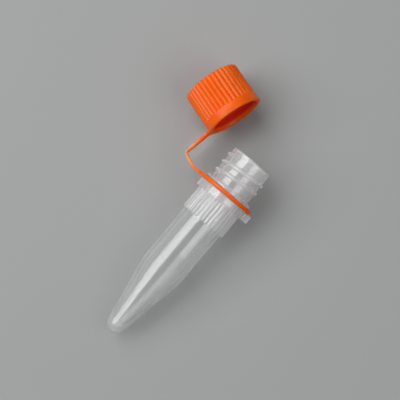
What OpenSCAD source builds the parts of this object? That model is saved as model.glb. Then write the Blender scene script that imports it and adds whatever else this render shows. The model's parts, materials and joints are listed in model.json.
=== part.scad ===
// Microcentrifuge tube, 1.5 ml class, with a conical end and a tethered screw cap.
// The tube lies on a flat surface with its cap unscrewed, its mouth towards +X and
// the cap on its strap towards +Y. The surface is z = 0, and the origin is on it,
// under the middle of the whole object. All sizes are in millimetres.

/* [Tube body] */
// Length of the tube from the tip to the rim
tube_len = 45; // [40:0.5:54]
// Outside radius of the straight barrel
barrel_r = 4.7; // [4:0.1:5.6]
// Outside radius of the round tip
tip_r = 2.1; // [1.7:0.1:2.5]
// Wall of the barrel
wall = 0.85; // [0.65:0.05:1.05]
// Wall at the tip
tip_wall = 1.3; // [1:0.1:1.6]
// Radius of the round end of the bore
inner_tip_r = 0.9; // [0.7:0.1:1.1]
// Height of the tip's end over which the cone opens to the barrel
cone_top = 16; // [13:0.5:18]

/* [Ribbed collar and flange] */
// Number of ribs round the collar, and round the cap
rib_count = 36; // [24:2:40]
// Length of the ribbed collar
collar_len = 5.1; // [4:0.1:6]
// Radius of the collar between its ribs, beyond the barrel
collar_step = 0.25; // [0.1:0.05:0.4]
// How far the collar's ribs stand out
collar_rib_h = 0.22; // [0.1:0.02:0.3]
// How far the flange stands out from the barrel
flange_step = 1.3; // [1.1:0.1:1.6]
// Thickness of the flange
flange_h = 1.75; // [1.2:0.05:2.2]
// How far the stop lug stands out from the flange
lug_step = 1.15; // [0.8:0.05:1.6]
// Width of the stop lug
lug_w = 1.7; // [1.2:0.1:2.4]

/* [Neck and thread] */
// Length of the threaded neck, from the lip to the rim
neck_len = 7.3; // [6.5:0.1:8.5]
// How much slimmer the neck is than the barrel, in radius
neck_step = 0.1; // [0:0.05:0.3]
// How far the lip that holds the loop's ring reaches out over its groove
lip_step = 0.5; // [0.4:0.05:0.65]
// Thickness of that lip
lip_h = 0.75; // [0.5:0.05:1]
// Pitch of the right-handed thread
thread_pitch = 2.0; // [1.5:0.1:2.4]
// How far the thread stands out of the neck
thread_h = 0.45; // [0.3:0.05:0.5]
// Turns of thread on the neck
thread_turns = 2.2; // [1.5:0.1:2.4]
// Gap between the lip and the start of the thread
thread_start_gap = 1.4; // [1:0.1:2]

/* [Loop ring] */
// Width of the ring's band, from its bore to its edge
ring_w = 1.35; // [1.2:0.05:1.6]
// Thickness of the ring along the tube
ring_h = 0.8; // [0.6:0.05:1]
// Running clearance of the ring above and below, in its groove
ring_play = 0.05; // [0.03:0.01:0.1]
// Clearance between the ring's bore and the groove
ring_bore_gap = 0.15; // [0.1:0.01:0.25]
// How far the groove's floor stands out from the neck
groove_step = 0.45; // [0.3:0.05:0.55]

/* [Strap] */
// Thickness of the strap
strap_t = 0.55; // [0.45:0.05:0.6]
// Width of the strap
strap_w = 2.0; // [1.6:0.1:2.4]
// Length of the ring's root, out to the first flex line
ring_root_len = 1.35; // [1.2:0.05:1.8]
// Straight distance from the first flex line to the elbow
inner_len = 4.15; // [3.8:0.05:4.8]
// Angle of the strap to the ring as it leaves the ring
inner_start = 2; // [0:1:6]
// How far the curved part of the strap turns
inner_sweep = 32; // [24:1:38]
// Distance from the elbow to the flex line at the cap
outer_len = 5.4; // [5:0.1:6.2]
// Direction of that stretch, turned from the ring's plane
outer_angle = 99; // [94:1:104]
// Length of the cap's root, out to its flex line
cap_root_len = 0.9; // [0.8:0.05:1.2]
// Clearance at each flex line between a rounded end and its seat
flex_gap = 0.1; // [0.06:0.01:0.12]

/* [Cap] */
// Height of the cap
cap_h = 9.2; // [8.8:0.1:10]
// Wall of the cap at its plain band
cap_wall = 0.95; // [0.85:0.05:1.15]
// Height of the plain band from the mouth
cap_band_h = 1.85; // [1.4:0.05:2.2]
// How far the cap's ribs stand back from the band
cap_rib_step = 0.08; // [0.04:0.02:0.12]
// Depth of the valleys between the ribs
cap_rib_h = 0.28; // [0.2:0.02:0.3]
// Radius of the rounded edge round the cap's top
cap_edge_r = 0.6; // [0.4:0.05:0.7]
// Thickness of the cap's top
cap_top_t = 1.3; // [1:0.05:1.5]
// Clearance of the cap's bore round the tube's thread
cap_thread_gap = 0.2; // [0.15:0.05:0.25]
// Direction of the cap's axis, turned from the ring's plane
cap_angle = 15.9; // [12:0.1:20]
// Distance from the cap's bore in to the round boss inside its top
boss_inset = 1.65; // [1.6:0.05:1.85]
// Height of that boss
boss_h = 0.7; // [0.5:0.05:0.8]

/* [Sealing ring] */
// Radius of the sealing ring's round section
seal_section_r = 0.5; // [0.4:0.02:0.52]
// Clearance of the sealing ring from the boss and from the cap's top
seal_gap = 0.04; // [0.02:0.01:0.05]

/* [Hidden] */

// Smoothness of true round surfaces, and of the helical threads
round_fn = 96;
thread_steps = 32;
// Steps in which a rounded edge's profile and a rib's outline are drawn
edge_steps = 6;
rib_steps = 6;
// Small overlap where solids of one piece join
weld = 0.1;

// Stations along the tube, from the tip
groove_h = ring_h + 2*ring_play;
lip_top = tube_len - neck_len;
groove_top = lip_top - lip_h;
flange_top = groove_top - groove_h;
flange_low = flange_top - flange_h;
collar_low = flange_low - collar_len;
ring_mid = flange_top + groove_h/2;

// Radii that follow from others
bore_r = barrel_r - wall;
collar_r = barrel_r + collar_step;
flange_r = barrel_r + flange_step;
lug_reach = flange_r + lug_step;
neck_r = barrel_r - neck_step;
groove_r = neck_r + groove_step;
lip_r = groove_r + lip_step;
ring_bore_r = groove_r + ring_bore_gap;
ring_r = ring_bore_r + ring_w;

// Rounded edges: of the rim, of the lip's upper side and of the other corners
rim_round = 0.25;
lip_round = 0.3;
edge_round = 0.12;

// The thread's ridge: half its width, how deep its root is sunk in the wall, how far
// its flanks ease into its crest, and where it starts round the neck and in the cap
thread_half = 0.24*thread_pitch;
cap_thread_half = 0.2*thread_pitch;
thread_sink = 0.2;
thread_ease = 0.12;
thread_foot = 0.05;
thread_start = -30;
cap_thread_start = 60;
cap_thread_low = 1.1;
// Part of a turn over which an end of a thread sinks into the wall
thread_fade = 0.12;

// Where the strap joins the ring and the cap: how deep each root is sunk, and how
// much wider than the strap it is there
ring_root_sink = 0.4;
cap_root_sink = 0.65;
ring_flare = 1.6;
cap_flare = 1.9;

// The cone's flank leaves the round tip at this angle to the axis
cone_slope = atan((barrel_r - tip_r)/(cone_top - tip_r));

// Flex lines and directions in the plane of the tube's axis and the strap:
// x is the distance from the axis, z the distance from the tip
function heading(angle) = [cos(angle), sin(angle)];
root_line = [ring_r + ring_root_len, ring_mid];
elbow_line = root_line + inner_len*heading(inner_start + inner_sweep/2);
cap_line = elbow_line + outer_len*heading(outer_angle);
cap_root_t = strap_t;
cap_bore_r = neck_r + thread_h + cap_thread_gap;
cap_thread_r = cap_bore_r - thread_h;
cap_band_r = cap_bore_r + cap_wall;
boss_r = cap_bore_r - boss_inset;
cap_inner_h = cap_h - cap_top_t;
cap_flex_r = cap_band_r + cap_root_len;
mouth_centre = cap_line + cap_flex_r*heading(cap_angle + 90) - cap_root_t/2*heading(cap_angle);
cap_rib_crest = cap_band_r - cap_rib_step;

// The tube leans on its ring and on the shoulder above its cone
ring_low = ring_mid - ring_h/2;
lean = atan((ring_r - barrel_r)/(ring_low - cone_top));
axis_lift = barrel_r*cos(lean) - cone_top*sin(lean);

// Height above the surface of a point in the strap's plane, with the loop rolled
function plane_height(p, roll) = axis_lift + p[1]*sin(lean) - p[0]*sin(roll)*cos(lean);
// Fall of the cap's axis towards its top, as a sine, and its lowest ribs
function cap_fall(roll) = cos(cap_angle)*sin(roll)*cos(lean) - sin(cap_angle)*sin(lean);
function cap_point(s) = mouth_centre + s*heading(cap_angle);
function rim_height(s, r, roll) =
    plane_height(cap_point(s), roll) - r*sqrt(1 - pow(cap_fall(roll), 2));
function cap_clear(roll) = min(rim_height(0, cap_band_r, roll),
                               rim_height(cap_h - cap_edge_r, cap_rib_crest, roll));
// The loop rolls about the tube until the cap meets the surface
function settle(low, high, steps) =
    steps == 0 ? (low + high)/2
    : cap_clear((low + high)/2) > 0 ? settle((low + high)/2, high, steps - 1)
    : settle(low, (low + high)/2, steps - 1);
loop_roll = settle(-20, 30, 30);

// Reach of the cap along a row axis, from the rounded edge of its top
function edge_reach(centre, slope, r) =
    centre + slope*(cap_h - cap_edge_r) + (r - cap_edge_r)*sqrt(1 - slope*slope) + cap_edge_r;
mouth_x = mouth_centre[1]*cos(lean) + mouth_centre[0]*sin(loop_roll)*sin(lean);
mouth_y = mouth_centre[0]*cos(loop_roll);
cap_x_slope = sin(cap_angle)*cos(lean) + cos(cap_angle)*sin(loop_roll)*sin(lean);
cap_y_slope = cos(cap_angle)*cos(loop_roll);
x_high = edge_reach(mouth_x, cap_x_slope, cap_rib_crest);
y_high = edge_reach(mouth_y, cap_y_slope, cap_rib_crest);
x_low = tip_r*cos(lean) - tip_r;
centre_x = (x_high + x_low)/2;
centre_y = (y_high - lug_reach)/2;

// ---- placing ----

// From a piece's upright frame (z along the tube) to the lying tube
module lie_down() {
    translate([-centre_x, -centre_y, axis_lift])
        rotate([0, -lean, 0])
            rotate([90, 0, 90])
                children();
}

// The loop, rolled about the tube's axis until its cap rests on the surface
module rolled() {
    rotate([0, 0, -loop_roll]) children();
}

// A point of the strap's plane, with +X turned to the given heading
module in_plane(point, angle) {
    translate([point[0], 0, point[1]]) rotate([0, -angle, 0]) children();
}

// The cap's own frame, mouth at z = 0, its strap on +X
module cap_place() {
    in_plane(mouth_centre, cap_angle) rotate([0, 90, 0]) children();
}

// ---- shared shapes ----

// Points of a quarter turn, for rounded corners of turned profiles
function arc(centre, r, from, to) = [for (i = [0:edge_steps])
    centre + r*heading(from + (to - from)*i/edge_steps)];

// A helical ridge as one closed skin: each station is the section turned about z.
// At a faded end the ridge sinks into its wall and narrows over a part of a turn.
function ridge_scale(turn, turns, fade_low, fade_high) =
    min(1, max(0.05, min(fade_low > 0 ? turn/fade_low : 1,
                         fade_high > 0 ? (turns - turn)/fade_high : 1)));

module helix_ridge(section, turns, pitch, start_angle, fade_low, fade_high, root_r) {
    steps = ceil(turns*thread_steps);
    sides = len(section);
    points = [for (i = [0:steps]) let (
        turn = turns*i/steps,
        k = ridge_scale(turn, turns, fade_low, fade_high),
        a = start_angle + 360*turn)
        for (p = section) let (r = root_r + k*(p[0] - root_r), z = p[1]*(0.4 + 0.6*k))
            [r*cos(a), r*sin(a), z + pitch*turn]];
    skin = [for (i = [0:steps - 1]) for (j = [0:sides - 1]) let (
        a = i*sides + j,
        b = i*sides + (j + 1) % sides)
        each [[a, b, b + sides], [a, b + sides, a + sides]]];
    low_end = [for (j = [1:sides - 2]) [0, j + 1, j]];
    high_end = [for (j = [1:sides - 2]) [steps*sides, steps*sides + j, steps*sides + j + 1]];
    polyhedron(points, concat(skin, low_end, high_end), convexity = 6);
}

// A ring of rounded ribs as an outline: crests at r, with narrow valleys h deep
module ribbed_outline(r, h) {
    points = rib_count*rib_steps;
    polygon([for (i = [0:points - 1]) let (a = 360*i/points)
        (r - h*(1 - abs(cos(a*rib_count/2))))*heading(a)]);
}

// A flat length of strap along +X, and the round bar on a flex line
module strap_bar(length, thickness, width) {
    translate([0, -width/2, -thickness/2]) cube([length, width, thickness]);
}

module flex_pin(r, width) {
    rotate([90, 0, 0]) cylinder(r = r, h = width, center = true, $fn = round_fn);
}

// ---- tube ----

module tube_outline() {
    rotate_extrude($fn = round_fn)
        polygon(concat(
            [[0, 0]],
            arc([0, tip_r], tip_r, -90 + 15, -cone_slope),
            [[barrel_r, cone_top], [barrel_r, flange_low], [flange_r - edge_round, flange_low],
             [flange_r, flange_low + edge_round], [flange_r, flange_top - edge_round],
             [flange_r - edge_round, flange_top], [groove_r, flange_top],
             [groove_r, groove_top], [lip_r - edge_round, groove_top],
             [lip_r, groove_top + edge_round]],
            arc([lip_r - lip_round, lip_top - lip_round], lip_round, 0, 90),
            [[neck_r + edge_round, lip_top], [neck_r, lip_top + edge_round]],
            arc([neck_r - rim_round, tube_len - rim_round], rim_round, 0, 90),
            [[0, tube_len]]));
}

module tube_cavity() {
    cone_low = tip_wall + inner_tip_r;
    rotate_extrude($fn = round_fn)
        polygon(concat(
            [[0, tip_wall]],
            arc([0, cone_low], inner_tip_r, -90 + 15, -cone_slope),
            [[bore_r, cone_top - wall], [bore_r, tube_len + 1], [0, tube_len + 1]]));
}

module collar_ribs() {
    translate([0, 0, collar_low])
        linear_extrude(collar_len + weld)
            ribbed_outline(collar_r + collar_rib_h, collar_rib_h);
}

// A stop lug on the flange, opposite the strap
module stop_lug() {
    translate([-lug_reach, -lug_w/2, flange_low])
        cube([lug_reach - groove_r, lug_w, flange_h]);
}

// The thread fades in at its lower end and stops bluntly at its upper end
module neck_thread() {
    root = neck_r - thread_sink;
    foot = neck_r + thread_foot;
    crest = neck_r + thread_h;
    half = thread_half;
    translate([0, 0, lip_top + thread_start_gap])
        helix_ridge([[root, -half], [foot, -half], [crest - thread_ease, -0.5*half],
                     [crest, -0.22*half], [crest, 0.22*half], [crest - thread_ease, 0.5*half],
                     [foot, half], [root, half]],
                    thread_turns, thread_pitch, thread_start, thread_fade, 0, root);
}

module tube() {
    color([0.80, 0.81, 0.80])
        lie_down()
            difference() {
                union() {
                    tube_outline();
                    collar_ribs();
                    stop_lug();
                    neck_thread();
                }
                tube_cavity();
            }
}

// ---- loop: ring, strap and cap ----

module neck_ring() {
    color([0.93, 0.33, 0.12])
        lie_down() rolled() translate([0, 0, ring_mid])
            difference() {
                union() {
                    rotate_extrude($fn = round_fn)
                        polygon([[ring_bore_r, -ring_h/2], [ring_r - edge_round, -ring_h/2],
                                 [ring_r, -ring_h/2 + edge_round], [ring_r, ring_h/2 - edge_round],
                                 [ring_r - edge_round, ring_h/2], [ring_bore_r, ring_h/2]]);
                    translate([ring_r - ring_root_sink, 0, 0]) ring_root();
                }
                translate([ring_r + ring_root_len, 0, 0]) flex_pin(strap_t/2 + flex_gap, 2*strap_w);
            }
}

// The root widens from the strap to the ring
module ring_root() {
    length = ring_root_len + ring_root_sink;
    wide = ring_flare*strap_w/2;
    translate([0, 0, -strap_t/2])
        linear_extrude(strap_t)
            polygon([[0, -wide], [length/2, -strap_w/2], [length, -strap_w/2],
                     [length, strap_w/2], [length/2, strap_w/2], [0, wide]]);
}

// The curved stretch, from the ring's flex line to the elbow, round at both ends
module strap_inner() {
    bend_r = inner_len/2/sin(inner_sweep/2);
    color([0.94, 0.40, 0.18])
        lie_down() rolled()
            in_plane(root_line, inner_start) {
                translate([0, strap_w/2, bend_r])
                    rotate([90, 0, 0])
                        rotate([0, 0, -90])
                            rotate_extrude(angle = inner_sweep, $fn = 4*round_fn)
                                translate([bend_r - strap_t/2, 0])
                                    square([strap_t, strap_w]);
                flex_pin(strap_t/2, strap_w);
                translate([bend_r*sin(inner_sweep), 0, bend_r*(1 - cos(inner_sweep))])
                    flex_pin(strap_t/2, strap_w);
            }
}

// The straight stretch, seated round the elbow and round at the cap's end
module strap_outer() {
    color([0.95, 0.42, 0.18])
        lie_down() rolled()
            in_plane(elbow_line, outer_angle)
                difference() {
                    union() {
                        strap_bar(outer_len, strap_t, strap_w);
                        translate([outer_len, 0, 0]) flex_pin(strap_t/2, strap_w);
                    }
                    flex_pin(strap_t/2 + flex_gap, 2*strap_w);
                }
}

module cap_band() {
    rotate_extrude($fn = round_fn)
        polygon([[0, 0], [cap_band_r - edge_round, 0], [cap_band_r, edge_round],
                 [cap_band_r, cap_band_h], [0, cap_band_h]]);
}

// The ribs run into the rounded edge of the top, which scallops it
module cap_grip() {
    intersection() {
        translate([0, 0, cap_band_h - weld])
            linear_extrude(cap_h)
                ribbed_outline(cap_rib_crest, cap_rib_h);
        rotate_extrude($fn = round_fn)
            polygon(concat(
                [[0, cap_band_h - 2*weld], [cap_band_r + 1, cap_band_h - 2*weld],
                 [cap_band_r + 1, cap_h - cap_edge_r - 1], [cap_rib_crest, cap_h - cap_edge_r - 1]],
                arc([cap_rib_crest - cap_edge_r, cap_h - cap_edge_r], cap_edge_r, 0, 90),
                [[0, cap_h]]));
    }
}

module cap_cavity() {
    difference() {
        translate([0, 0, -1]) cylinder(r = cap_bore_r, h = cap_inner_h + 1, $fn = round_fn);
        translate([0, 0, cap_inner_h - boss_h]) cylinder(r = boss_r, h = boss_h + 1, $fn = round_fn);
    }
}

module cap_thread() {
    root = cap_bore_r + thread_sink;
    foot = cap_bore_r - thread_foot;
    crest = cap_thread_r;
    half = cap_thread_half;
    translate([0, 0, cap_thread_low])
        helix_ridge([[root, half], [foot, half], [crest, 0.3*half],
                     [crest, -0.3*half], [foot, -half], [root, -half]],
                    thread_turns, thread_pitch, cap_thread_start, thread_fade, thread_fade, root);
}

// The cap's root widens from its flex line to the band
module cap_strap_root() {
    length = cap_root_len + cap_root_sink;
    wide = cap_flare*strap_w/2;
    difference() {
        translate([cap_band_r - cap_root_sink, 0, 0])
            linear_extrude(cap_root_t)
                polygon([[0, -wide], [length - 0.3, -strap_w/2], [length, -strap_w/2],
                         [length, strap_w/2], [length - 0.3, strap_w/2], [0, wide]]);
        translate([cap_flex_r, 0, cap_root_t/2]) flex_pin(strap_t/2 + flex_gap, 2*strap_w);
    }
}

module cap() {
    color([0.94, 0.37, 0.10])
        lie_down() rolled() cap_place() {
            difference() {
                union() {
                    cap_band();
                    cap_grip();
                }
                cap_cavity();
            }
            cap_thread();
            cap_strap_root();
        }
}

module seal_ring() {
    section_centre = boss_r + seal_gap + seal_section_r;
    color([0.85, 0.28, 0.18])
        lie_down() rolled() cap_place()
            translate([0, 0, cap_inner_h - seal_gap - seal_section_r])
                rotate_extrude($fn = round_fn)
                    translate([section_centre, 0])
                        circle(r = seal_section_r, $fn = 32);
}

tube();
neck_ring();
strap_inner();
strap_outer();
cap();
seal_ring();
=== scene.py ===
import json
from math import atan2, ceil, cos, degrees, pi, radians, sin

import bpy
from mathutils import Matrix, Vector


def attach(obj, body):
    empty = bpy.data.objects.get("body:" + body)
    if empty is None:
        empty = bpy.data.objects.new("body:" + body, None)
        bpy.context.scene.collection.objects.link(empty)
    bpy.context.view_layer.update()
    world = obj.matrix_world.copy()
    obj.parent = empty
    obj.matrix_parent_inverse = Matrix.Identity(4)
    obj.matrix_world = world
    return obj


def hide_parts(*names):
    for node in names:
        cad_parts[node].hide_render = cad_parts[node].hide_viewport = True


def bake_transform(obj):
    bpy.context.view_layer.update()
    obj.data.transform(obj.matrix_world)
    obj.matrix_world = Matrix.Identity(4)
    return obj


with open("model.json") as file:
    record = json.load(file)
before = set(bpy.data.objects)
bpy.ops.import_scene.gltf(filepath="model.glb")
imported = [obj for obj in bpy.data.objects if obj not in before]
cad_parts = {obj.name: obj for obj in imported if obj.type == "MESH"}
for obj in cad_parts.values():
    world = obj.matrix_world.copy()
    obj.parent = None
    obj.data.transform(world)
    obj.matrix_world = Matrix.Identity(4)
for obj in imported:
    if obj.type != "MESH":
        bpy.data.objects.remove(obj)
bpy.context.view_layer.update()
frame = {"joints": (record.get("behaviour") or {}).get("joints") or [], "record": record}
joints = {joint["name"]: joint for joint in frame["joints"]}
mounts = {mount["name"]: mount for mount in frame["record"]["mounts"]}
bpy.ops.object.select_all(action="DESELECT")
bpy.context.scene.view_settings.view_transform = "Standard"

# ---------------------------------------------------------------------------
# Tube
# One moulding in natural, milky polypropylene: a thin-walled tube with a
# conical end, a ribbed collar, a flange with a stop lug, a groove for the
# loop's ring, and a neck with a coarse right-handed thread.
# ---------------------------------------------------------------------------

MM = 0.001
TUBE_LEN, CONE_TOP, TIP_R, BARREL_R = 45.0, 16.0, 2.1, 4.7
BORE_R, INNER_TIP_R, TIP_WALL = 3.85, 0.9, 1.3
COLLAR_LOW, COLLAR_R, COLLAR_EDGE, COLLAR_SINK = 29.2, 5.17, 0.05, 0.4
FLANGE_LOW, FLANGE_TOP, FLANGE_R, FLANGE_EDGE = 34.3, 36.05, 6.0, 0.12
GROOVE_R, GROOVE_TOP = 5.05, 36.95
LIP_R, LIP_TOP, NECK_R = 5.55, 37.7, 4.6
LUG_REACH, LUG_W, LUG_SINK, LUG_EDGE = 7.15, 1.7, 0.02, 0.15
RIBS, COLLAR_RIB_DEPTH, COLLAR_RIB_FULL = 36, 0.22, 4.95
TURN_STEPS, COLLAR_RIB_STEPS = 192, 10
SMOOTH_ANGLE = 40


def arc(r, z, radius, start, end, count):
    """Points of a round corner of an outline, from one angle to another."""
    turn = [radians(start + (end - start)*i/count) for i in range(count + 1)]
    return [(r + radius*cos(a), z + radius*sin(a)) for a in turn]


def draw_outline(name, outline):
    """A single point drawn out along an outline of (radius, height) in millimetres."""
    bpy.ops.object.select_all(action="DESELECT")
    bpy.ops.mesh.primitive_plane_add(size=MM)
    part = bpy.context.object
    part.name = part.data.name = name
    bpy.ops.object.mode_set(mode="EDIT")
    bpy.ops.mesh.select_mode(type="VERT")
    bpy.ops.mesh.select_all(action="SELECT")
    bpy.ops.mesh.merge(type="CENTER")
    bpy.ops.transform.translate(value=(outline[0][0]*MM, 0, outline[0][1]*MM))
    for (r1, z1), (r2, z2) in zip(outline, outline[1:]):
        step = ((r2 - r1)*MM, 0, (z2 - z1)*MM)
        bpy.ops.mesh.extrude_vertices_move(TRANSFORM_OT_translate={"value": step})
    bpy.ops.mesh.select_all(action="SELECT")
    return part


def turn_outline(name, outline, steps):
    """A turned piece: its outline spun once about Z, then sewn up."""
    part = draw_outline(name, outline)
    bpy.ops.mesh.spin(steps=steps, angle=2*pi, center=(0, 0, 0), axis=(0, 0, 1))
    bpy.ops.mesh.select_all(action="SELECT")
    bpy.ops.mesh.remove_doubles(threshold=1e-7)
    bpy.ops.mesh.normals_make_consistent(inside=False)
    bpy.ops.object.mode_set(mode="OBJECT")
    return part


def press_ribs(part, depth, low, high, r_full, r_none):
    """Rounded ribs: the points between the crests are drawn in towards the axis.
    The valleys are full depth outside r_full and fade out at r_none."""
    columns = {}
    for point in part.data.vertices:
        z, r = point.co.z/MM, point.co.xy.length/MM
        if low <= z <= high and r > r_none:
            share = min(1, (r - r_none)/(r_full - r_none))
            angle = degrees(atan2(point.co.y, point.co.x)) % (360/RIBS)
            drop = depth*share*(1 - abs(cos(pi*angle*RIBS/360)))
            columns.setdefault(round(1 - drop/r, 4), []).append(point.index)
    bpy.context.view_layer.objects.active = part
    for scale, points in columns.items():
        bpy.ops.object.mode_set(mode="EDIT")
        bpy.ops.mesh.select_all(action="DESELECT")
        bpy.ops.object.mode_set(mode="OBJECT")
        for index in points:
            part.data.vertices[index].select = True
        bpy.ops.object.mode_set(mode="EDIT")
        bpy.ops.transform.resize(value=(scale, scale, 1), center_override=(0, 0, 0))
        bpy.ops.object.mode_set(mode="OBJECT")


def wind_thread(name, outline, pitch, turns, start_angle, start_z, bevel):
    """A helical ridge wound from its section, with blunt rounded ends."""
    ridge = draw_outline(name, outline + [outline[0]])
    bpy.ops.mesh.remove_doubles(threshold=1e-7)
    bpy.ops.object.mode_set(mode="OBJECT")
    screw = ridge.modifiers.new("wind", "SCREW")
    screw.angle = 2*pi*turns
    screw.screw_offset = pitch*turns*MM
    screw.steps = screw.render_steps = int(144*turns)
    screw.use_merge_vertices = False
    bpy.ops.object.modifier_apply(modifier=screw.name)
    bpy.ops.object.mode_set(mode="EDIT")
    bpy.ops.mesh.select_all(action="SELECT")
    bpy.ops.mesh.fill_holes(sides=0)
    bpy.ops.mesh.normals_make_consistent(inside=False)
    bpy.ops.object.mode_set(mode="OBJECT")
    ends = [face.index for face in ridge.data.polygons if len(face.vertices) > 4]
    bpy.ops.object.mode_set(mode="EDIT")
    bpy.ops.mesh.select_mode(type="FACE")
    bpy.ops.mesh.select_all(action="DESELECT")
    bpy.ops.object.mode_set(mode="OBJECT")
    for index in ends:
        ridge.data.polygons[index].select = True
    bpy.ops.object.mode_set(mode="EDIT")
    bpy.ops.mesh.bevel(offset=bevel*MM, segments=3, affect="EDGES")
    bpy.ops.mesh.select_all(action="SELECT")
    bpy.ops.object.mode_set(mode="OBJECT")
    ridge.rotation_euler.z = radians(start_angle)
    ridge.location.z = start_z*MM
    bpy.ops.object.transform_apply(location=True, rotation=True, scale=True)
    return ridge


def fuse(part, other):
    """One solid from two: moulded features join the wall that they stand on."""
    union = part.modifiers.new("fuse", "BOOLEAN")
    union.operation = "UNION"
    union.solver = "EXACT"
    union.object = other
    bpy.context.view_layer.objects.active = part
    bpy.ops.object.modifier_apply(modifier=union.name)
    bpy.data.objects.remove(other)


def upright(origin, axis, side):
    """Places a piece modelled upright: its Z along axis, its X towards side."""
    return Matrix((side, axis.cross(side), axis)).transposed().to_4x4(), origin


def seat(part, placing, body, replaces):
    """Smooths a finished piece, puts it in its place and hands it to its body."""
    turn, origin = placing
    bpy.ops.object.select_all(action="DESELECT")
    part.select_set(True)
    bpy.context.view_layer.objects.active = part
    part.matrix_world = Matrix.Translation(origin) @ turn
    bpy.ops.object.transform_apply(location=True, rotation=True, scale=True)
    bpy.ops.object.shade_smooth_by_angle(angle=radians(SMOOTH_ANGLE))
    part.select_set(False)
    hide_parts(*replaces)
    if body:
        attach(part, body)


cone_lean = degrees(atan2(BARREL_R - TIP_R, CONE_TOP - TIP_R))
tube_outline = (
    arc(0, TIP_R, TIP_R, -90, -cone_lean, 12)
    + [(BARREL_R - 0.08, CONE_TOP - 0.44), (BARREL_R, CONE_TOP + 0.1), (BARREL_R, 22)]
    + [(BARREL_R, COLLAR_LOW), (BARREL_R, FLANGE_LOW - 0.2)]
    + arc(BARREL_R + 0.2, FLANGE_LOW - 0.2, 0.2, 180, 90, 4)
    + arc(FLANGE_R - FLANGE_EDGE, FLANGE_LOW + FLANGE_EDGE, FLANGE_EDGE, -90, 0, 4)
    + arc(FLANGE_R - FLANGE_EDGE, FLANGE_TOP - FLANGE_EDGE, FLANGE_EDGE, 0, 90, 4)
    + arc(GROOVE_R + 0.1, FLANGE_TOP + 0.1, 0.1, 270, 180, 3)
    + arc(GROOVE_R + 0.1, GROOVE_TOP - 0.1, 0.1, 180, 90, 3)
    + arc(LIP_R - 0.1, GROOVE_TOP + 0.1, 0.1, -90, 0, 3)
    + arc(LIP_R - 0.3, LIP_TOP - 0.3, 0.3, 0, 90, 5)
    + arc(NECK_R + 0.15, LIP_TOP + 0.15, 0.15, 270, 180, 4)
    + arc(NECK_R - 0.25, TUBE_LEN - 0.25, 0.25, 0, 90, 6)
    + arc(BORE_R + 0.12, TUBE_LEN - 0.12, 0.12, 90, 180, 4)
    + [(BORE_R, 38), (BORE_R, 26), (BORE_R, CONE_TOP - 0.7), (BORE_R - 0.06, CONE_TOP - 1.1)]
    + arc(0, TIP_WALL + INNER_TIP_R, INNER_TIP_R, -cone_lean, -90, 8))
tube = turn_outline("tube_body", tube_outline, TURN_STEPS)

# The ribbed collar is a fluted sleeve under the flange.
collar_in, collar_top = BORE_R + COLLAR_SINK, FLANGE_LOW + 0.1
collar_outline = (
    [(collar_in, COLLAR_LOW)]
    + arc(COLLAR_R - COLLAR_EDGE, COLLAR_LOW + COLLAR_EDGE, COLLAR_EDGE, -90, 0, 2)
    + [(COLLAR_R, collar_top), (collar_in, collar_top), (collar_in, COLLAR_LOW)])
collar = turn_outline("collar", collar_outline, RIBS*COLLAR_RIB_STEPS)
press_ribs(collar, COLLAR_RIB_DEPTH, 0, TUBE_LEN, COLLAR_RIB_FULL, BARREL_R)
fuse(tube, collar)

# The stop lug keeps the ring of the loop from being pushed past the flange.
bpy.ops.mesh.primitive_cube_add(size=1)
lug = bpy.context.object
lug.scale = ((LUG_REACH - GROOVE_R)*MM, LUG_W*MM, (FLANGE_TOP - FLANGE_LOW - LUG_SINK)*MM)
lug.location = (-(LUG_REACH + GROOVE_R)/2*MM, 0, (FLANGE_TOP + FLANGE_LOW)/2*MM)
bpy.ops.object.transform_apply(location=True, rotation=True, scale=True)
bpy.ops.object.mode_set(mode="EDIT")
bpy.ops.mesh.bevel(offset=LUG_EDGE*MM, segments=4, affect="EDGES")
bpy.ops.object.mode_set(mode="OBJECT")
fuse(tube, lug)

# The thread has a rounded crest and starts a little above the lip.
THREAD_H, THREAD_W, PITCH, TURNS, THREAD_END = 0.45, 0.86, 2.0, 2.2, 0.1
THREAD_START_ANGLE, THREAD_RISE = -30, 1.4
thread_section = (
    [(NECK_R - 0.2, -THREAD_W/2 - 0.02), (NECK_R, -THREAD_W/2 - 0.02)]
    + [(NECK_R + THREAD_H*(1 - abs(u)**2.4)**0.5, u*THREAD_W/2)
       for u in (-0.98, -0.9, -0.75, -0.55, -0.3, 0, 0.3, 0.55, 0.75, 0.9, 0.98)]
    + [(NECK_R, THREAD_W/2 + 0.02), (NECK_R - 0.2, THREAD_W/2 + 0.02)])
fuse(tube, wind_thread("thread", thread_section, PITCH, TURNS, THREAD_START_ANGLE,
                       LIP_TOP + THREAD_RISE, THREAD_END))


def new_material(name, settings):
    """A material with one shader, and the constant settings of that shader."""
    material = bpy.data.materials.new(name)
    material.use_nodes = True
    shader = material.node_tree.nodes["Principled BSDF"]
    for socket, value in settings.items():
        shader.inputs[socket].default_value = value
    return material, shader


def mould_bump(tree, shader, grain, strength, distance):
    """The faint orange-peel that a moulded plastic skin has."""
    place = tree.nodes.new("ShaderNodeTexCoord")
    noise = tree.nodes.new("ShaderNodeTexNoise")
    noise.inputs["Scale"].default_value = grain
    noise.inputs["Detail"].default_value = 4
    bump = tree.nodes.new("ShaderNodeBump")
    bump.inputs["Strength"].default_value = strength
    bump.inputs["Distance"].default_value = distance
    tree.links.new(place.outputs["Object"], noise.inputs["Vector"])
    tree.links.new(noise.outputs["Fac"], bump.inputs["Height"])
    tree.links.new(bump.outputs["Normal"], shader.inputs["Normal"])
    return place, noise


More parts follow.
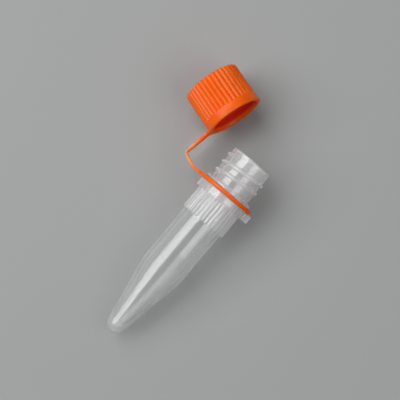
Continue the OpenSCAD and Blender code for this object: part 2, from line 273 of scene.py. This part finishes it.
def mottle(tree, place, grain):
    """A coarser noise, for slow changes of gloss and tint."""
    cloud = tree.nodes.new("ShaderNodeTexNoise")
    cloud.inputs["Scale"].default_value = grain
    tree.links.new(place.outputs["Object"], cloud.inputs["Vector"])
    return cloud.outputs["Fac"]


def spread(tree, source, low, high, socket):
    """Maps a noise to a range of values, such as a roughness."""
    band = tree.nodes.new("ShaderNodeMapRange")
    band.inputs["From Min"].default_value = 0.3
    band.inputs["From Max"].default_value = 0.7
    band.inputs["To Min"].default_value = low
    band.inputs["To Max"].default_value = high
    tree.links.new(source, band.inputs["Value"])
    tree.links.new(band.outputs["Result"], socket)


def tint(tree, source, dark, light, socket):
    """Maps a noise to a colour between two close tints, and returns the ramp."""
    ramp = tree.nodes.new("ShaderNodeValToRGB")
    ramp.color_ramp.elements[0].position = 0.3
    ramp.color_ramp.elements[1].position = 0.7
    ramp.color_ramp.elements[0].color = (*dark, 1)
    ramp.color_ramp.elements[1].color = (*light, 1)
    tree.links.new(source, ramp.inputs["Fac"])
    tree.links.new(ramp.outputs["Color"], socket)
    return ramp


def slope(tree, source, start, low, high):
    """Goes smoothly from low to high while the source goes from start to 1."""
    band = tree.nodes.new("ShaderNodeMapRange")
    band.interpolation_type = "SMOOTHSTEP"
    band.inputs["From Min"].default_value = start
    band.inputs["To Min"].default_value = low
    band.inputs["To Max"].default_value = high
    tree.links.new(source, band.inputs["Value"])
    return band


milky, shader = new_material("milky_polypropylene", {
    "IOR": 1.2, "Coat Weight": 1, "Coat IOR": 1.8, "Coat Roughness": 0.04})
tree = milky.node_tree
place, _ = mould_bump(tree, shader, grain=700, strength=0.1, distance=0.00001)
cloud = mottle(tree, place, 140)
spread(tree, cloud, 0.08, 0.13, shader.inputs["Roughness"])
tint(tree, cloud, (0.92, 0.93, 0.93), (0.97, 0.975, 0.975), shader.inputs["Base Color"])
tube.data.materials.clear()
tube.data.materials.append(milky)

tube_axis = Vector(joints["ring_spin"]["axis"]).normalized()
mouth = Vector(mounts["mouth_bore"]["pos_m"])
tip = mouth - tube_axis*TUBE_LEN*MM

# The plastic is milkier where it is thicker: station along the tube, clearness.
station = tree.nodes.new("ShaderNodeVectorMath")
station.operation = "DOT_PRODUCT"
station.inputs[1].default_value = tube_axis/(TUBE_LEN*MM)
tree.links.new(place.outputs["Object"], station.inputs[0])
offset = tree.nodes.new("ShaderNodeMath")
offset.inputs[1].default_value = -tip.dot(tube_axis)/(TUBE_LEN*MM)
tree.links.new(station.outputs["Value"], offset.inputs[0])
clear = tree.nodes.new("ShaderNodeValToRGB")
clear.color_ramp.elements[0].position = 0
clear.color_ramp.elements[1].position = 1
for z, clearness in ((0.5, 0.55), (4, 0.78), (16, 0.82), (COLLAR_LOW - 0.1, 0.8),
                     (COLLAR_LOW + 0.1, 0.58), (FLANGE_LOW, 0.5), (FLANGE_LOW + 0.3, 0.4),
                     (LIP_TOP, 0.42), (LIP_TOP + 0.4, 0.66), (TUBE_LEN - 0.6, 0.62),
                     (TUBE_LEN - 0.3, 0.35)):
    stop = clear.color_ramp.elements.new(z/TUBE_LEN)
    stop.color = (clearness, clearness, clearness, 1)
clear.color_ramp.elements[0].color = (0.45, 0.45, 0.45, 1)
clear.color_ramp.elements[-1].color = (0.3, 0.3, 0.3, 1)
tree.links.new(offset.outputs[0], clear.inputs["Fac"])

# Seen along the wall, the light passes through more of the milky plastic.
slant = tree.nodes.new("ShaderNodeLayerWeight")
slant.inputs["Blend"].default_value = 0.5
haze = slope(tree, slant.outputs["Facing"], 0.45, 0.46, 0.92)
tree.links.new(haze.outputs["Result"], shader.inputs["Alpha"])
loss = slope(tree, slant.outputs["Facing"], 0.5, 1, 0.3)
passed = tree.nodes.new("ShaderNodeMath")
passed.operation = "MULTIPLY"
tree.links.new(clear.outputs["Color"], passed.inputs[0])
tree.links.new(loss.outputs["Result"], passed.inputs[1])
tree.links.new(passed.outputs[0], shader.inputs["Transmission Weight"])

# Ridges hold more plastic than the wall, and are milkier still.
thick = milky.copy()
thick.name = "milky_ridge"
thick.node_tree.nodes[haze.name].inputs["To Min"].default_value = 0.58
for stop in thick.node_tree.nodes[clear.name].color_ramp.elements:
    stop.color = (0.5, 0.5, 0.5, 1)
tube.data.materials.append(thick)
for face in tube.data.polygons:
    r, z = face.center.xy.length/MM, face.center.z/MM
    on_thread = z > LIP_TOP + 0.5 and r > NECK_R + 0.06
    on_rib = COLLAR_LOW < z < FLANGE_LOW and r > 5.06
    face.material_index = int(on_thread or on_rib)
level_side = Vector((0, 0, 1)).cross(tube_axis).normalized()
seat(tube, upright(tip, tube_axis, level_side), "tube", ["tube"])

# ---------------------------------------------------------------------------
# Loop ring
# The ring end of the loop, moulded in orange polypropylene in one with the
# strap and the cap. It is a flat washer with softened edges, snapped under the
# lip of the neck, where it turns freely.
# ---------------------------------------------------------------------------

RING_R, RING_BORE_R, RING_H, RING_EDGE, RING_BORE_EDGE = 6.55, 5.2, 0.8, 0.14, 0.08
ring_outline = (
    arc(RING_R - RING_EDGE, RING_H/2 - RING_EDGE, RING_EDGE, 0, 90, 4)
    + arc(RING_BORE_R + RING_BORE_EDGE, RING_H/2 - RING_BORE_EDGE, RING_BORE_EDGE, 90, 180, 3)
    + arc(RING_BORE_R + RING_BORE_EDGE, -RING_H/2 + RING_BORE_EDGE, RING_BORE_EDGE, 180, 270, 3)
    + arc(RING_R - RING_EDGE, -RING_H/2 + RING_EDGE, RING_EDGE, -90, 0, 4))
ring = turn_outline("loop_ring", ring_outline + [ring_outline[0]], TURN_STEPS)

orange, shader = new_material("orange_polypropylene", {
    "IOR": 1.49, "Specular IOR Level": 0.24, "Subsurface Weight": 0.6,
    "Subsurface Radius": (1.0, 0.22, 0.03), "Subsurface Scale": 0.0018})
tree = orange.node_tree
place, _ = mould_bump(tree, shader, grain=1500, strength=0.1, distance=0.00004)
cloud = mottle(tree, place, 220)
spread(tree, cloud, 0.3, 0.38, shader.inputs["Roughness"])
tones = tint(tree, cloud, (0.92, 0.12, 0.002), (0.97, 0.145, 0.003), shader.inputs["Base Color"])
ring.data.materials.clear()
ring.data.materials.append(orange)

ring_centre = Vector(joints["ring_spin"]["pos_m"])
root_line = Vector(joints["ring_flex"]["pos_m"])
loop_side = (root_line - ring_centre).normalized()
seat(ring, upright(ring_centre, tube_axis, loop_side), "ring", ["neck_ring"])

# ---------------------------------------------------------------------------
# Cap
# The screw end of the loop, moulded in the same orange polypropylene. It has
# thick walls, a plain band at its mouth, rounded grip ribs up to its rounded
# top, and a thread inside that turns onto the neck.
# ---------------------------------------------------------------------------

CAP_H, BAND_R, BAND_H = 9.2, 6.2, 1.85
GRIP_R, GRIP_DEPTH, GRIP_STEPS, GRIP_FULL, GRIP_NONE = 6.12, 0.28, 12, 5.87, 5.2
CAP_BORE_R, CAP_INNER_H, BOSS_R, BOSS_H, CAP_EDGE_R = 5.25, 7.9, 3.6, 0.7, 0.6
CAP_ANGLE, STRAP_T, CAP_ROOT = 15.9, 0.55, 0.9
cap_outline = (
    [(0, CAP_H - 0.12), (0.35, CAP_H - 0.12), (0.45, CAP_H - 0.2), (3.9, CAP_H - 0.2)]
    + arc(4.1, CAP_H - 0.1, 0.1, 270, 360, 2) + [(4.3, CAP_H), (4.9, CAP_H)]
    + arc(GRIP_R - CAP_EDGE_R, CAP_H - CAP_EDGE_R, CAP_EDGE_R, 90, 0, 8)
    + [(GRIP_R, 6), (GRIP_R, 4), (GRIP_R, BAND_H + 0.12)]
    + arc(BAND_R - 0.08, BAND_H - 0.02, 0.08, 60, 0, 3)
    + arc(BAND_R - 0.12, 0.12, 0.12, 0, -90, 4)
    + arc(CAP_BORE_R + 0.35, 0.1, 0.1, 270, 200, 3)
    + [(CAP_BORE_R, 0.75), (CAP_BORE_R, 4), (CAP_BORE_R, CAP_INNER_H - 0.2)]
    + arc(CAP_BORE_R - 0.2, CAP_INNER_H - 0.2, 0.2, 0, 90, 4)
    + [(BOSS_R, CAP_INNER_H)] + arc(BOSS_R - 0.1, CAP_INNER_H - BOSS_H + 0.1, 0.1, 0, -90, 3)
    + [(2, CAP_INNER_H - BOSS_H), (0, CAP_INNER_H - BOSS_H)])
cap = turn_outline("screw_cap", cap_outline, RIBS*GRIP_STEPS)
press_ribs(cap, GRIP_DEPTH, BAND_H + 0.1, CAP_H + 1, GRIP_FULL, GRIP_NONE)

CAP_THREAD_H, CAP_THREAD_W = 0.45, 0.78
CAP_THREAD_START_ANGLE, CAP_THREAD_LOW = 60, 1.1
cap_thread_section = (
    [(CAP_BORE_R + 0.2, CAP_THREAD_W/2 + 0.1), (CAP_BORE_R, CAP_THREAD_W/2 + 0.1)]
    + [(CAP_BORE_R - CAP_THREAD_H*(1 - abs(u)**2.2)**0.5, u*CAP_THREAD_W/2)
       for u in (0.95, 0.75, 0.45, 0, -0.45, -0.75, -0.95)]
    + [(CAP_BORE_R, -CAP_THREAD_W/2 - 0.1), (CAP_BORE_R + 0.2, -CAP_THREAD_W/2 - 0.1)])
fuse(cap, wind_thread("cap_thread", cap_thread_section, PITCH, TURNS, CAP_THREAD_START_ANGLE,
                      CAP_THREAD_LOW, THREAD_END))
cap.data.materials.clear()
cap.data.materials.append(orange)

# Inside the bore the orange is painted a deeper red: painted shade standing in for the light that
# reaches it only through the wall.
painted_shade_inside = orange.copy()
painted_shade_inside.name = "orange_inside_painted_shade"
painted_shade_tones = painted_shade_inside.node_tree.nodes[tones.name].color_ramp
painted_shade_tones.elements[0].color = (0.93, 0.028, 0.012, 1)
painted_shade_tones.elements[1].color = (0.97, 0.036, 0.015, 1)
painted_shade_inside.node_tree.nodes["Principled BSDF"].inputs["Specular IOR Level"].default_value = 0.1
cap.data.materials.append(painted_shade_inside)
# The faces inside the cap's bore get the painted shade.
for face in cap.data.polygons:
    inside = face.center.xy.length < (CAP_BORE_R + 0.02)*MM
    face.material_index = int(inside and 0.3*MM < face.center.z < (CAP_INNER_H + 0.1)*MM)

lean = radians(CAP_ANGLE)
cap_axis = loop_side*cos(lean) + tube_axis*sin(lean)
cap_up = tube_axis*cos(lean) - loop_side*sin(lean)
cap_line = Vector(joints["cap_flex"]["pos_m"])
cap_mouth = cap_line + cap_up*(BAND_R + CAP_ROOT)*MM - cap_axis*STRAP_T/2*MM
seat(cap, upright(cap_mouth, cap_axis, -cap_up), "cap", ["cap"])

# ---------------------------------------------------------------------------
# Sealing ring
# A soft silicone ring pushed over the boss inside the top of the cap, where
# the tube's rim presses on it.
# ---------------------------------------------------------------------------

SEAL_R, SEAL_GAP = 0.5, 0.04
bpy.ops.object.select_all(action="DESELECT")
bpy.ops.mesh.primitive_torus_add(
    major_radius=(BOSS_R + SEAL_GAP + SEAL_R)*MM, minor_radius=SEAL_R*MM,
    major_segments=128, minor_segments=32,
    location=(0, 0, (CAP_INNER_H - SEAL_GAP - SEAL_R)*MM))
seal = bpy.context.object
seal.name = seal.data.name = "sealing_ring"
bpy.ops.object.transform_apply(location=True, rotation=True, scale=True)

silicone, shader = new_material("red_silicone", {
    "IOR": 1.41, "Subsurface Weight": 0.3, "Subsurface Radius": (0.8, 0.2, 0.1),
    "Subsurface Scale": 0.0006})
tree = silicone.node_tree
place, peel = mould_bump(tree, shader, grain=2500, strength=0.15, distance=0.00002)
spread(tree, peel.outputs["Fac"], 0.45, 0.6, shader.inputs["Roughness"])
tint(tree, peel.outputs["Fac"], (0.42, 0.03, 0.015), (0.5, 0.045, 0.02),
     shader.inputs["Base Color"])
seal.data.materials.clear()
seal.data.materials.append(silicone)
seat(seal, upright(cap_mouth, cap_axis, -cap_up), "cap", ["seal_ring"])

# ---------------------------------------------------------------------------
# Strap
# A thin flat ribbon moulded with the ring and the cap. It leaves the ring in
# a gentle curve, folds sharply at the elbow and runs straight to the cap's
# band, widening where it joins each end. It bends at three places.
# ---------------------------------------------------------------------------

STRAP_W, RING_FLARE, CAP_FLARE, STRAP_EDGE = 2.0, 1.1, 1.4, 0.13
RING_ROOT, ROOT_SINK = 1.35, 0.5
INNER_LEN, INNER_START, INNER_SWEEP = 4.15, 2.0, 32.0
OUTER_LEN, OUTER_ANGLE = 5.4, 99.0
ELBOW_BEND, ELBOW_HEADING, ELBOW_REACH, ROOT_REACH = 0.32, 66, 0.6, 0.45
RIBBON_T, ELBOW_THINNER, RING_THICKER, CAP_THICKER, CAP_EDGE_THINNER = 0.6, 0.22, 0.1, 0.12, 0.05
# How far from the elbow the strap's orange is painted paler, as a painted glow, and how it fades.
PAINTED_GLOW_REACH, PAINTED_GLOW_FADE = 4.6, 2.6
STRAP_START = RING_R - ROOT_SINK
root_x = RING_R + RING_ROOT
inner_r = INNER_LEN/2/sin(radians(INNER_SWEEP/2))
inner_run = inner_r*radians(INNER_SWEEP)
to_root = root_x - STRAP_START
to_elbow = to_root + inner_run
to_cap = to_elbow + OUTER_LEN
STEP = 0.15


def ease(t):
    """A smooth rise from 0 to 1."""
    t = min(1, max(0, t))
    return 3*t*t - 2*t*t*t


def strap_heading(s):
    """The strap's direction, turned from the ring's plane, at a distance s along it."""
    before = INNER_START + INNER_SWEEP*(1 - ELBOW_BEND/inner_run)
    if s < to_elbow - ELBOW_BEND:
        return 0 if s < to_root else INNER_START + INNER_SWEEP*(s - to_root)/inner_run
    if s < to_elbow + ELBOW_BEND:
        return before + (OUTER_ANGLE - before)*ease((s - to_elbow + ELBOW_BEND)/2/ELBOW_BEND)
    return OUTER_ANGLE + (90 + CAP_ANGLE - OUTER_ANGLE)*ease((s - to_cap + 0.8)/1.2)


def strap_size(s):
    """The strap's width and thickness at a distance s along it, in millimetres."""
    from_ring = s - (RING_R - STRAP_START)
    from_cap = to_cap + CAP_ROOT - s
    wide = (STRAP_W + RING_FLARE*max(0, 1 - from_ring/1.2)**2
            + CAP_FLARE*max(0, 1 - from_cap/1.4)**2)
    thick = (RIBBON_T - ELBOW_THINNER*ease(1 - abs(s - to_elbow)/2.4)
             + RING_THICKER*ease(1 - from_ring/1.6))
    return wide, (thick + CAP_THICKER*ease(1 - abs(from_cap - 1.9)/1.8)
                  - CAP_EDGE_THINNER*ease(1 - from_cap/0.8))


def draw_strap(name, start, end, origin):
    """A length of strap drawn out from a flat section with rounded corners."""
    x, z, s = origin
    count = ceil((end - start)/STEP)
    step = (end - start)/count
    bpy.ops.object.select_all(action="DESELECT")
    bpy.ops.mesh.primitive_plane_add(size=MM, location=(x*MM, 0, z*MM), rotation=(0, pi/2, 0))
    part = bpy.context.object
    part.name = part.data.name = name
    bpy.ops.object.transform_apply(location=True, rotation=True, scale=True)
    wide, thick = strap_size(start)
    bpy.ops.object.mode_set(mode="EDIT")
    bpy.ops.mesh.select_all(action="SELECT")
    centre = (x*MM, 0, z*MM)
    bpy.ops.transform.resize(value=(1, wide, thick), center_override=centre)
    bpy.ops.mesh.bevel(offset=STRAP_EDGE*MM, segments=4, affect="VERTICES")
    bpy.ops.mesh.select_all(action="SELECT")
    turn = radians(strap_heading(start))
    bpy.ops.transform.rotate(value=turn, orient_axis="Y", center_override=centre)
    for i in range(count):
        middle = radians(strap_heading(start + (i + 0.5)*step))
        x, z = x + step*cos(middle), z + step*sin(middle)
        bpy.ops.mesh.extrude_region_move(TRANSFORM_OT_translate={
            "value": (step*cos(middle)*MM, 0, step*sin(middle)*MM)})
        centre = (x*MM, 0, z*MM)
        old_wide, old_thick = wide, thick
        wide, thick = strap_size(start + (i + 1)*step)
        bpy.ops.transform.rotate(value=-turn, orient_axis="Y", center_override=centre)
        bpy.ops.transform.resize(value=(1, wide/old_wide, thick/old_thick), center_override=centre)
        turn = radians(strap_heading(start + (i + 1)*step))
        bpy.ops.transform.rotate(value=turn, orient_axis="Y", center_override=centre)
    bpy.ops.mesh.select_all(action="SELECT")
    bpy.ops.mesh.normals_make_consistent(inside=False)
    bpy.ops.object.mode_set(mode="OBJECT")
    # Each point's share of the painted glow, highest at the elbow.
    painted_glow = part.data.attributes.new("painted_glow", "FLOAT", "POINT")
    for point, value in zip(part.data.vertices, painted_glow.data):
        from_elbow = (point.co - ELBOW).length/MM
        value.value = ease((PAINTED_GLOW_REACH - from_elbow)/PAINTED_GLOW_FADE)
    part.data.materials.clear()
    part.data.materials.append(orange_painted_glow)
    return part, (x, z, end)


# Near the strap's thin elbow the orange is painted paler: a painted glow standing in for the light
# that comes through the thin strap.
elbow_lean = radians(INNER_START + INNER_SWEEP/2)
ELBOW = Vector((root_x + INNER_LEN*cos(elbow_lean), 0, INNER_LEN*sin(elbow_lean)))*MM
orange_painted_glow = orange.copy()
orange_painted_glow.name = "orange_strap_painted_glow"
nodes, links = orange_painted_glow.node_tree.nodes, orange_painted_glow.node_tree.links
painted_glow_mask = nodes.new("ShaderNodeAttribute")
painted_glow_mask.attribute_name = "painted_glow"
painted_glow_mix = nodes.new("ShaderNodeMix")
painted_glow_mix.data_type = "RGBA"
painted_glow_mix.inputs["B"].default_value = (0.93, 0.3, 0.1, 1)
links.new(painted_glow_mask.outputs["Fac"], painted_glow_mix.inputs["Factor"])
links.new(nodes[tones.name].outputs["Color"], painted_glow_mix.inputs["A"])
links.new(painted_glow_mix.outputs["Result"], nodes["Principled BSDF"].inputs["Base Color"])


loop_place = upright(ring_centre, tube_axis, loop_side)
near_cut, far_cut = to_root + inner_run*0.45, to_elbow + OUTER_LEN/2
near_root, end = draw_strap("strap_ring_end", 0, near_cut, (STRAP_START, 0, 0))
seat(near_root, loop_place, None, ["strap_inner"])
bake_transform(near_root)
elbow, end = draw_strap("strap_elbow", near_cut, far_cut, end)
seat(elbow, loop_place, None, ["strap_inner", "strap_outer"])
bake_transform(elbow)
cap_root, end = draw_strap("strap_cap_end", far_cut, to_cap + CAP_ROOT + 0.4, end)
seat(cap_root, loop_place, None, ["strap_outer"])
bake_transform(cap_root)

# ---------------------------------------------------------------------------
# Floor, light and camera
# A plain pale table top under two softboxes, with the camera almost overhead.
# ---------------------------------------------------------------------------

bpy.ops.object.select_all(action="DESELECT")
bpy.ops.mesh.primitive_plane_add(size=3)
floor = bpy.context.object
floor.name = "floor"
paper, shader = new_material("pale_board", {
    "Base Color": (0.35, 0.355, 0.352, 1), "Roughness": 0.9})
floor.data.materials.append(paper)

world = bpy.data.worlds.new("studio")
bpy.context.scene.world = world
world.use_nodes = True
world.node_tree.nodes["Background"].inputs["Color"].default_value = (0.9, 0.95, 1, 1)
world.node_tree.nodes["Background"].inputs["Strength"].default_value = 0.1

AZIMUTH, ELEVATION, FRAME_SPIN = radians(-56.8), radians(83.8), radians(50)
AIM_BACK, AIM_ACROSS, LIGHT_DISTANCE, CAMERA_DISTANCE = 12.9, 3.2, 0.6, 0.25
back = Vector((sin(AZIMUTH)*cos(ELEVATION), -cos(AZIMUTH)*cos(ELEVATION), sin(ELEVATION)))
flat_axis = (tube_axis - back*tube_axis.dot(back)).normalized()
across = back.cross(flat_axis)
right = flat_axis*cos(FRAME_SPIN) - across*sin(FRAME_SPIN)
aim = mouth - flat_axis*AIM_BACK*MM + across*AIM_ACROSS*MM


def softbox(name, lean, slide, width, length, power):
    """A rectangular softbox, leaned from the camera across the tube."""
    bpy.ops.object.light_add(type="AREA")
    light = bpy.context.object
    light.name = name
    light.data.shape = "RECTANGLE"
    light.data.size, light.data.size_y = width, length
    light.data.energy = power
    out = back*cos(radians(lean)) + across*sin(radians(lean))
    light.matrix_world = Matrix((out.cross(flat_axis), -flat_axis, out)).transposed().to_4x4()
    light.location = aim + out*LIGHT_DISTANCE + flat_axis*slide


softbox("key_softbox", lean=41, slide=-0.1, width=0.46, length=0.8, power=4.5)
softbox("fill_softbox", lean=-33, slide=0.2, width=0.4, length=0.5, power=1.1)

bpy.ops.object.camera_add()
camera = bpy.context.object
camera.data.lens = 110
camera.matrix_world = Matrix((right, back.cross(right), back)).transposed().to_4x4()
camera.location = aim + back*CAMERA_DISTANCE
bpy.context.scene.camera = camera
